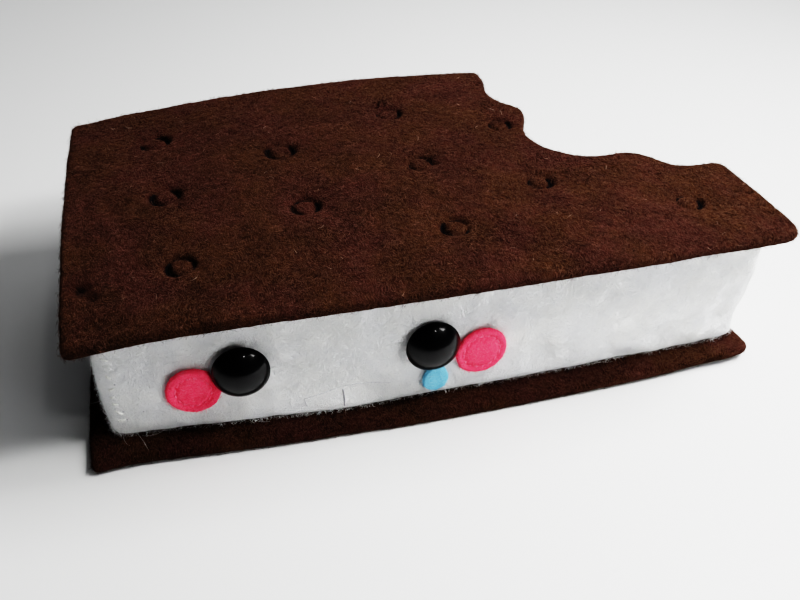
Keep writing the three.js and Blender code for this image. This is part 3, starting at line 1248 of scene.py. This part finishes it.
@dataclass
class UpperCookie(Cookie):
    """The upper cookie with its docking marks.

    Radii are in metres, and depths, reaches and places in millimetres. A weight says how dark the felt gets,
    and an arc with a weight over twice_from has two threads.
    """

    marks: tuple[Mark, ...] = (
        Mark(19.6, 64.9, 3.1, 3.0, (Arc(206, 35, 1.0), Arc(31, 60, 1.0))),
        Mark(20.8, 41.3, 2.9, 2.7, (Arc(200, 75, 1.0), Arc(26, 48, 0.9))),
        Mark(22.4, 17.1, 2.6, 2.5, (Arc(200, 75, 1.0), Arc(65, 65, 0.5), Arc(0, 35, 0.7))),
        Mark(47.4, 53.2, 3.1, 2.8, (Arc(200, 70, 0.9), Arc(0, 48, 1.0))),
        Mark(49.3, 30.4, 2.8, 2.6, (Arc(205, 60, 0.7), Arc(96, 55, 0.3), Arc(-5, 48, 0.95))),
        Mark(76.2, 65.3, 2.8, 2.6, (Arc(80, 40, 0.4), Arc(-14, 48, 0.8), Arc(176, 25, 0.3))),
        Mark(78.0, 41.5, 2.7, 2.7, (Arc(36, 58, 0.65), Arc(211, 55, 0.6))),
        Mark(78.6, 17.0, 2.7, 2.7, (Arc(186, 62, 1.0), Arc(60, 50, 0.45), Arc(-40, 22, 0.5))),
        Mark(102.1, 55.3, 2.5, 2.6, (Arc(80, 40, 0.4), Arc(0, 46, 0.9), Arc(176, 25, 0.4))),
        Mark(102.6, 29.7, 2.5, 2.4, (Arc(170, 40, 0.6), Arc(-14, 62, 1.0), Arc(236, 35, 0.3))),
        Mark(133.2, 16.6, 2.7, 2.6, (Arc(120, 40, 0.35), Arc(-24, 52, 1.0))),
    )
    dimples: tuple[Dimple, ...] = (
        Dimple(3.6, 14.6, 1.6, 1.8, 1.0),
        Dimple(5.6, 12.0, 1.5, 1.4, 0.8),
        Dimple(6.8, 4.4, 1.2, 1.2, 0.5),
        Dimple(10.6, 3.2, 1.6, 0.9, 0.45),
        Dimple(4.4, 41.6, 0.9, 2.6, 0.5),
        Dimple(3.9, 24.0, 0.9, 2.0, 0.3),
        Dimple(4.0, 31.0, 0.9, 1.6, 0.25),
        Dimple(4.6, 58.0, 1.1, 1.5, 0.25),
        Dimple(4.8, 71.5, 1.1, 1.6, 0.25),
    )
    upper_span: Pair = (0.2, 0.7)
    groove: float = 0.42
    groove_swell: float = 0.42
    ring_depth: float = 0.12
    ring_weight: float = 0.16
    arc_depth: float = 0.7
    arc_weight: float = 1.1
    hollow: float = 0.35
    hollow_reach: float = 4.6
    quilt: float = 0.45
    quilt_reach: float = 9.0
    dimple_depth: float = 0.9
    dimple_weight: float = 0.8
    thread_radius: float = 0.00024
    thread_sink: float = 0.12
    thread_share: float = 0.85
    thread_apart: float = 0.28
    above: float = 60.0
    twice_from: float = 0.75
    steps: int = 8

    def press(self, piece: Piece) -> np.ndarray:
        """Presses the marks and the dimples into the upper face.

        Args:
            piece: the cookie.

        Returns:
            How dark the felt is at each vertex.
        """
        places, facing = points_of(piece), normals_of(piece)
        x, y = self.plan(places)
        pressed, depth = np.zeros(len(places)), np.zeros(len(places))
        upper = smoothstep(*self.upper_span, facing[:, 2])
        for mark in self.marks:
            dx, dy = x - mark.x, y - mark.y
            size = 0.5 * (mark.across + mark.deep)
            away = (np.hypot(dx / mark.across, dy / mark.deep) - 1.0) * size
            angle = np.degrees(np.arctan2(dy / mark.deep, dx / mark.across))
            arcs = np.maximum.reduce([arc.at(angle) for arc in mark.arcs])
            ring = np.exp(-((away / (self.groove + self.groove_swell * arcs)) ** 2))
            radius = np.hypot(dx, dy)
            depth += self.quilt * np.exp(-((radius / self.quilt_reach) ** 2))
            depth += self.hollow * np.exp(-((radius / self.hollow_reach) ** 2))
            depth += ring * (self.ring_depth + self.arc_depth * arcs)
            pressed = np.maximum(pressed, ring * np.minimum(1.0, self.ring_weight + self.arc_weight * arcs))
        for dimple in self.dimples:
            reach = np.exp(-(((x - dimple.x) / dimple.across) ** 2) - ((y - dimple.y) / dimple.deep) ** 2)
            depth += self.dimple_depth * dimple.strength * reach
            pressed = np.maximum(pressed, self.dimple_weight * dimple.strength * reach)
        places[:, 2] -= depth * upper * MM
        move_points(piece, places)
        return pressed * upper

    def build(self) -> Piece:
        """Makes the cookie.

        Returns:
            The finished piece.
        """
        piece = self.blank()
        self.dress(piece, self.press(piece))
        return piece

    def sew(self, skin: Skin) -> None:
        """Lays the dark thread in the marks' arcs, twice where they are strong.

        Args:
            skin: the cookie's surface.
        """
        thread = Sewing("mark_threads", BLACK_THREAD, self.thread_radius)
        for mark in self.marks:
            for arc in mark.arcs:
                for offset in (-self.thread_apart, self.thread_apart) if arc.weight > self.twice_from else (0.0,):
                    path = []
                    for share in shares(self.steps):
                        angle = arc.middle + self.thread_share * arc.spread * (2.0 * share - 1.0)
                        x, y = mark.ring(angle, offset)
                        path.append(skin.ahead(LAYOUT.at(x, y, self.above), DOWN) + self.thread_sink * MM * DOWN)
                    thread.lay(path)
        thread.join()


@dataclass
class LowerCookie(Cookie):
    """The lower cookie, darkened where the filling is sewn to it: dark stitching along the seam, and painted
    shade in the crevice at the foot of the wall.

    The seam's distances are in metres, and those at the left edge in millimetres.
    """

    seam_from: float = 0.0004
    seam_to: float = 0.0024
    seam_shade_and_stitching: float = 0.5
    left_reach: float = 9.0
    left_moves: Pair = (-0.6, -0.35)
    left_span: float = 30.0

    def ease_left(self, piece: Piece) -> None:
        """Draws the left edge out a little, most at its front.

        Args:
            piece: the cookie.
        """
        places = points_of(piece)
        x, y = self.plan(places)
        front, back = self.left_moves
        share = np.clip(y / self.left_span, 0.0, 1.0)
        places[:, 0] += (1.0 - smoothstep(0.0, self.left_reach, x)) * (front + (back - front) * share) * MM
        places[:, 2] = np.maximum(places[:, 2], 0.0)
        move_points(piece, places)

    def build(self, filling: Skin) -> Piece:
        """Makes the cookie.

        Args:
            filling: the surface of the stuffed block that it carries.

        Returns:
            The finished piece.
        """
        piece = self.blank()
        self.ease_left(piece)
        away = filling.distances(points_of(piece))
        # Dark stitching and painted shade: the felt darkens within a few millimetres of the filling's wall.
        self.dress(piece, self.seam_shade_and_stitching * (1.0 - smoothstep(self.seam_from, self.seam_to, away)))
        return piece


# ------------------------------ face


@dataclass
class Eye:
    """A domed safety eye, sewn on with a slight upward tilt.

    Angles are in degrees, stand is in metres and move in millimetres. Each step of the rim is the share of
    the width that is left and how far back it goes, in millimetres.
    """

    node: str
    slope: float = 58.0
    tilt: float = 10.0
    stand: float = 0.0019
    trim: float = 0.98
    move: Triple = (0.0, 0.0, -0.67)
    rim: tuple[Pair, ...] = ((1.002, 0.1), (0.99, 0.1), (0.94, 0.3), (0.88, 0.6), (0.96, 1.5))
    crease: float = 50.0
    segments: int = 96

    def seat(self) -> tuple[Matrix, float]:
        """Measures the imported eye.

        Returns:
            Where it sits, with its origin in the middle of the flat back and its Z out of the dome, and its
            radius.
        """
        places = np.array([v.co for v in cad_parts[self.node].data.vertices])
        low, high = places.min(axis=0), places.max(axis=0)
        spread = places - places.mean(axis=0)
        _, axes = np.linalg.eigh(spread.T @ spread)
        axis = axes[:, 0] if axes[1, 0] < 0 else -axes[:, 0]
        along = places @ axis
        middle = 0.5 * (low + high)
        middle += axis * (along.min() - middle @ axis)
        radius = np.linalg.norm((places - middle) - np.outer((places - middle) @ axis, axis), axis=1).max()
        turn = Vector(axis).to_track_quat("Z", "Y").to_matrix().to_4x4()
        return Matrix.Translation(Vector(middle)) @ turn, float(radius)

    def build(self) -> None:
        """Makes the eye."""
        seat, radius = self.seat()
        ball = self.trim * radius / math.sin(math.radians(self.slope))
        cut = ball * math.cos(math.radians(self.slope))
        bpy.ops.object.select_all(action="DESELECT")
        bpy.ops.mesh.primitive_uv_sphere_add(segments=self.segments, ring_count=self.segments, radius=ball)
        piece = bpy.context.active_object
        piece.name = f"{self.node}_dome"
        with editing(piece):
            bpy.ops.mesh.bisect(
                plane_co=(0.0, 0.0, cut), plane_no=(0.0, 0.0, 1.0), clear_inner=True, use_fill=False, threshold=1e-7
            )
            bpy.ops.mesh.select_all(action="DESELECT")
            bpy.ops.mesh.select_non_manifold()
            for shrink, drop in self.rim:
                bpy.ops.mesh.extrude_edges_move(TRANSFORM_OT_translate={"value": (0.0, 0.0, -drop * MM)})
                bpy.ops.transform.resize(value=(shrink, shrink, 1.0))
            bpy.ops.mesh.edge_face_add()
            bpy.ops.mesh.select_all(action="SELECT")
            bpy.ops.mesh.normals_make_consistent(inside=False)
        lean = Matrix.Rotation(math.radians(-self.tilt), 4, "X")
        shift = Matrix.Translation(Vector(self.move) * MM)
        piece.data.transform(shift @ seat @ lean @ Matrix.Translation((0.0, 0.0, self.stand - cut)))
        activate(piece)
        bpy.ops.object.shade_smooth_by_angle(angle=math.radians(self.crease))
        hand_over(piece, BLACK_PLASTIC, self.node)


@dataclass
class Patch:
    """A small piece of felt on the front of the filling."""

    node: str
    finish: Felt
    voxel: float = 0.00028
    rounding: int = 4
    swells: tuple[Pair, ...] = ((0.003, 0.00025), (0.0009, 0.00012))
    trim: float = 1.0
    front_slope: float = -0.3
    pull_depth: float = 0.35
    pull_shade: float = 0.2

    def build(self, pull_at: Callable[[np.ndarray], np.ndarray] | None = None) -> Piece:
        """Makes the patch.

        Args:
            pull_at: how deep a line of stitches pulls in the felt at some places, from 0 to 1.

        Returns:
            The finished piece.
        """
        piece = copy_of_node(self.node, f"{self.node}_felt")
        remesh(piece, self.voxel)
        places = points_of(piece)
        anchor = np.array([places[:, 0].mean(), 0.0, places[:, 2].max()])
        move_points(piece, np.where([True, False, True], anchor + (places - anchor) * self.trim, places))
        finish_with(piece, Kind.SMOOTH, factor=0.5, iterations=self.rounding)
        roughen(piece, self.swells)
        if pull_at is not None:
            places, facing = points_of(piece), normals_of(piece)
            pull = pull_at(places) * (facing[:, 1] < self.front_slope)
            places[:, 1] += pull * self.pull_depth * MM
            move_points(piece, places)
            # Painted shade: the felt is darkened along the stitched groove.
            store(piece, "pressed", self.pull_shade * pull)
        smooth_shading(piece)
        hand_over(piece, self.finish, self.node)
        return piece


@dataclass
class Cheek:
    """A round felt cheek with a ring of running stitches.

    Its width and height are in millimetres, and inset is the ring's share of them. Each stitch covers a
    share of its place on the ring, shifted by up to uneven of it, and dips into the felt at its ends.
    """

    node: str
    width: float
    height: float
    inset: float
    stitches: int = 16
    line_width: float = 0.11
    thread_radius: float = 0.0002
    uneven: float = 0.15
    uneven_turn: float = 3.1
    length: float = 0.86
    dip: float = 0.12
    steps: int = 6
    start: float = 0.01
    reach: Pair = (-0.009, 0.004)

    def centre(self) -> Vector:
        """The middle of the whole cheek, which its eye partly covers.

        Returns:
            The middle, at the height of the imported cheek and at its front.
        """
        low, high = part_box(self.node)
        x = low.x + 0.5 * self.width * MM if self.node.endswith("left") else high.x - 0.5 * self.width * MM
        return Vector((x, low.y, 0.5 * (low.z + high.z)))

    def build(self) -> None:
        """Makes the felt, its nap and its stitches, apart from those that the eye covers."""
        middle = self.centre()
        across, up = 0.5 * self.width * self.inset * MM, 0.5 * self.height * self.inset * MM

        def ring(places: np.ndarray) -> np.ndarray:
            """How near some places are to the line of stitches."""
            x, z = (places[:, 0] - middle.x) / across, (places[:, 2] - middle.z) / up
            return np.exp(-(((np.hypot(x, z) - 1.0) / self.line_width) ** 2))

        felt = Patch(self.node, PINK_FELT).build(ring)
        Nap(f"{self.node}_nap", PINK_FIBRE, 900, (0.0005, 0.0014), 0.000025, 0.00014, 40, loose=0.3).grow(felt)
        skin = Skin(felt)
        thread = Sewing(f"{self.node}_stitches", PINK_THREAD, self.thread_radius)
        near, far = self.reach
        for i in range(self.stitches):
            first = 2.0 * math.pi * (i + self.uneven * math.sin(self.uneven_turn * i)) / self.stitches
            path = []
            for step in range(self.steps + 1):
                angle = first + 2.0 * math.pi / self.stitches * self.length * step / self.steps
                x, z = middle.x + across * math.cos(angle), middle.z + up * math.sin(angle)
                found = skin.ahead(Vector((x, middle.y - self.start, z)), BACKWARDS)
                dip = self.dip * MM * math.cos(2.0 * math.pi * step / self.steps)
                path.append(found + Vector((0.0, dip, 0.0)))
            if all(place.y > middle.y + near and skin.nearest(place)[0].y < middle.y + far for place in path):
                thread.lay(path)
        thread.join()


# ------------------------------ stage


@dataclass(frozen=True)
class Lamp:
    """A square soft light that faces the sandwich.

    Its azimuth and elevation are in degrees, 0 behind the sandwich and 90 to its right. Its distance, the
    length of its side and the height that it aims at are in metres, and its power is in watts. Polished
    pieces mirror it only if mirrored.
    """

    name: str
    azimuth: float
    elevation: float
    distance: float
    size: float
    power: float
    colour: Colour = WHITE
    mirrored: bool = False
    aim: float = 0.02

    def hang(self) -> None:
        """Adds the light."""
        data = bpy.data.lights.new(self.name, "AREA")
        data.size, data.energy, data.color = self.size, self.power, self.colour
        lamp = add_object(self.name, data)
        a, e = math.radians(self.azimuth), math.radians(self.elevation)
        away = Vector((math.sin(a) * math.cos(e), math.cos(a) * math.cos(e), math.sin(e)))
        lamp.location = away * self.distance + Vector((0.0, 0.0, self.aim))
        lamp.rotation_mode = "QUATERNION"
        lamp.rotation_quaternion = away.to_track_quat("Z", "Y")
        lamp.visible_camera = False
        lamp.visible_glossy = self.mirrored


@dataclass
class Studio:
    """The floor, the lights and the camera.

    The camera's place is in millimetres from the sandwich's corner, and its angles are in degrees.
    """

    lens: float = 37.83
    sensor: float = 36.0
    eye: Triple = (27.68, -118.02, 139.15)
    yaw: float = 16.34
    pitch: float = 40.24
    roll: float = 2.54
    floor_size: float = 6.0
    floor_swells: Swells = Swells(0.4, 1.0)
    floor_tones: tuple[Colour, Colour] = ((0.6, 0.61, 0.615), (0.635, 0.64, 0.645))
    floor_middle: Triple = (0.0, 0.12, 0.0)
    floor_span: Pair = (0.34, 0.8)
    far_shade: Colour = (0.1, 0.1, 0.1)
    lamps: tuple[Lamp, ...] = (
        Lamp("window", 115.0, 50.0, 0.32, 0.12, 0.92, (1.0, 0.99, 0.975), mirrored=True),
        Lamp("second_lamp", 156.0, 58.0, 1.2, 0.06, 0.55, (1.0, 0.99, 0.97), mirrored=True),
        Lamp("window_side", 90.0, 48.0, 0.32, 0.12, 1.32, (1.0, 0.99, 0.975)),
        Lamp("desk_lamp", 141.0, 59.0, 0.25, 0.035, 0.4, (1.0, 0.99, 0.97)),
        Lamp("front_lamp", 151.0, 11.0, 0.235, 0.1, 0.195),
        Lamp("room_right", 50.0, 45.0, 1.0, 0.8, 1.6),
        Lamp("room_back", 15.0, 50.0, 1.0, 0.8, 1.9),
    )
    room_light: float = 0.02

    def camera(self) -> None:
        """Places the camera."""
        data = bpy.data.cameras.new("camera")
        data.lens, data.sensor_width = self.lens, self.sensor
        data.clip_start, data.clip_end = 0.01, 20.0
        camera = add_object("camera", data)
        yaw, pitch, roll = (math.radians(a) for a in (self.yaw, self.pitch, self.roll))
        ahead = Vector((math.sin(yaw) * math.cos(pitch), math.cos(yaw) * math.cos(pitch), -math.sin(pitch)))
        right = Vector((math.cos(yaw), -math.sin(yaw), 0.0))
        up = right.cross(ahead)
        across = math.cos(roll) * right + math.sin(roll) * up
        upright = math.cos(roll) * up - math.sin(roll) * right
        turn = Matrix((across, upright, -ahead)).transposed().to_4x4()
        camera.matrix_world = Matrix.Translation(LAYOUT.at(*self.eye)) @ turn
        bpy.context.scene.camera = camera

    def floor(self) -> None:
        """Lays the pale table, whose colour darkens far from the sandwich: painted shade where less light reaches it.
        """
        bpy.ops.object.select_all(action="DESELECT")
        bpy.ops.mesh.primitive_plane_add(size=self.floor_size)
        floor = bpy.context.active_object
        floor.name = "floor"
        shader = Shader("pale_table", {"Roughness": 0.5, "Specular IOR Level": 0.3})
        place = shader.place()
        tone = shader.mix(shader.noise(place, self.floor_swells), *self.floor_tones)
        # Painted shade: the table's colour darkens with distance from the sandwich.
        reach = shader.node("VectorMath", {"operation": "DISTANCE"}, {0: place, 1: self.floor_middle}).outputs["Value"]
        far = Value(shader, reach).between(*self.floor_span)
        shader.feed("Base Color", shader.mix(far, tone, self.far_shade))
        floor.data.materials.append(shader.material)

    def room(self) -> None:
        """Lights the whole room faintly, and sets how the view shows light and dark."""
        scene = bpy.context.scene
        scene.world = bpy.data.worlds.new("room")
        scene.world.use_nodes = True
        ground = scene.world.node_tree.nodes["Background"]
        ground.inputs["Color"].default_value = (*WHITE, 1.0)
        ground.inputs["Strength"].default_value = self.room_light
        scene.world.cycles_visibility.glossy = False
        scene.view_settings.view_transform = "Filmic"
        scene.view_settings.look = "Very High Contrast"

    def build(self) -> None:
        """Sets the stage."""
        self.floor()
        for lamp in self.lamps:
            lamp.hang()
        self.room()
        self.camera()


# ------------------------------ main


def grow_naps(upper: Piece, lower: Piece, filling: Piece, stuffed: Filling) -> None:
    """Grows the fibres of the cookies and the filling.

    Args:
        upper: the upper cookie.
        lower: the lower cookie.
        filling: the stuffed block.
        stuffed: its sizes.
    """
    lying, mixed, short = (0.0006, 0.0018), (0.0006, 0.002), (0.0004, 0.0011)
    for i in range(3):
        Nap(f"upper_nap_{i + 1}", BROWN_FIBRE, 16000, mixed, 0.000026, 0.0001, seed=10 + i).grow(upper, facing_up)
    strays = Nap("upper_strays", PALE_FIBRE, 90, (0.0008, 0.0022), 0.00002, 0.0002, seed=15, loose=0.5)
    strays.grow(upper, facing_up)
    Nap("lower_nap", BROWN_FIBRE, 13000, lying, 0.000026, 0.0001, seed=20).grow(lower, facing_up)
    for name, count, seed, cookie in (("upper_fringe", 3200, 16, upper), ("lower_fringe", 1600, 17, lower)):
        Nap(name, BROWN_FIBRE, count, short, 0.000015, 0.00015, seed, loose=0.5, curl=0.4).grow(cookie, edges)
    for nap, cover in (
        (Nap("filling_nap", WHITE_FIBRE, 9000, lying, 0.000016, 0.00007, 30, 0.04, 0.5), stuffed.walls),
        (Nap("filling_hem", WHITE_FIBRE, 4200, mixed, 0.000011, 0.0003, 31, 0.6, 0.6, tuple(DOWN)), stuffed.hem),
        (Nap("filling_corner", WHITE_FIBRE, 1300, lying, 0.000012, 0.00025, 32, 0.7, 0.5), stuffed.seam),
    ):
        nap.grow(filling, cover)


def main() -> None:
    """Builds the sandwich and its stage."""
    stuffed = Filling()
    filling = stuffed.build()
    wall = Skin(filling)
    CornerSeam().sew(wall)
    MouthThread().lay(wall)
    StrayHairs().lay()
    upper_cookie = UpperCookie("top_cookie", "upper_cookie_felt")
    upper = upper_cookie.build()
    upper_cookie.sew(Skin(upper))
    lower = LowerCookie("bottom_cookie", "lower_cookie_felt").build(wall)
    Eye("eye_left").build()
    Eye("eye_right", trim=1.0, move=(-0.12, 0.0, -0.6)).build()
    Cheek("cheek_left", 10.8, 11.9, 0.66).build()
    Cheek("cheek_right", 11.4, 12.6, 0.72).build()
    tear = Patch("tear", BLUE_FELT, trim=0.93).build()
    Nap("tear_nap", BLUE_FIBRE, 350, (0.0005, 0.0012), 0.000025, 0.00014, seed=50, loose=0.3).grow(tear)
    grow_naps(upper, lower, filling, stuffed)
    Studio().build()
    log.info("sizes written")


if __name__ == "__main__":
    main()
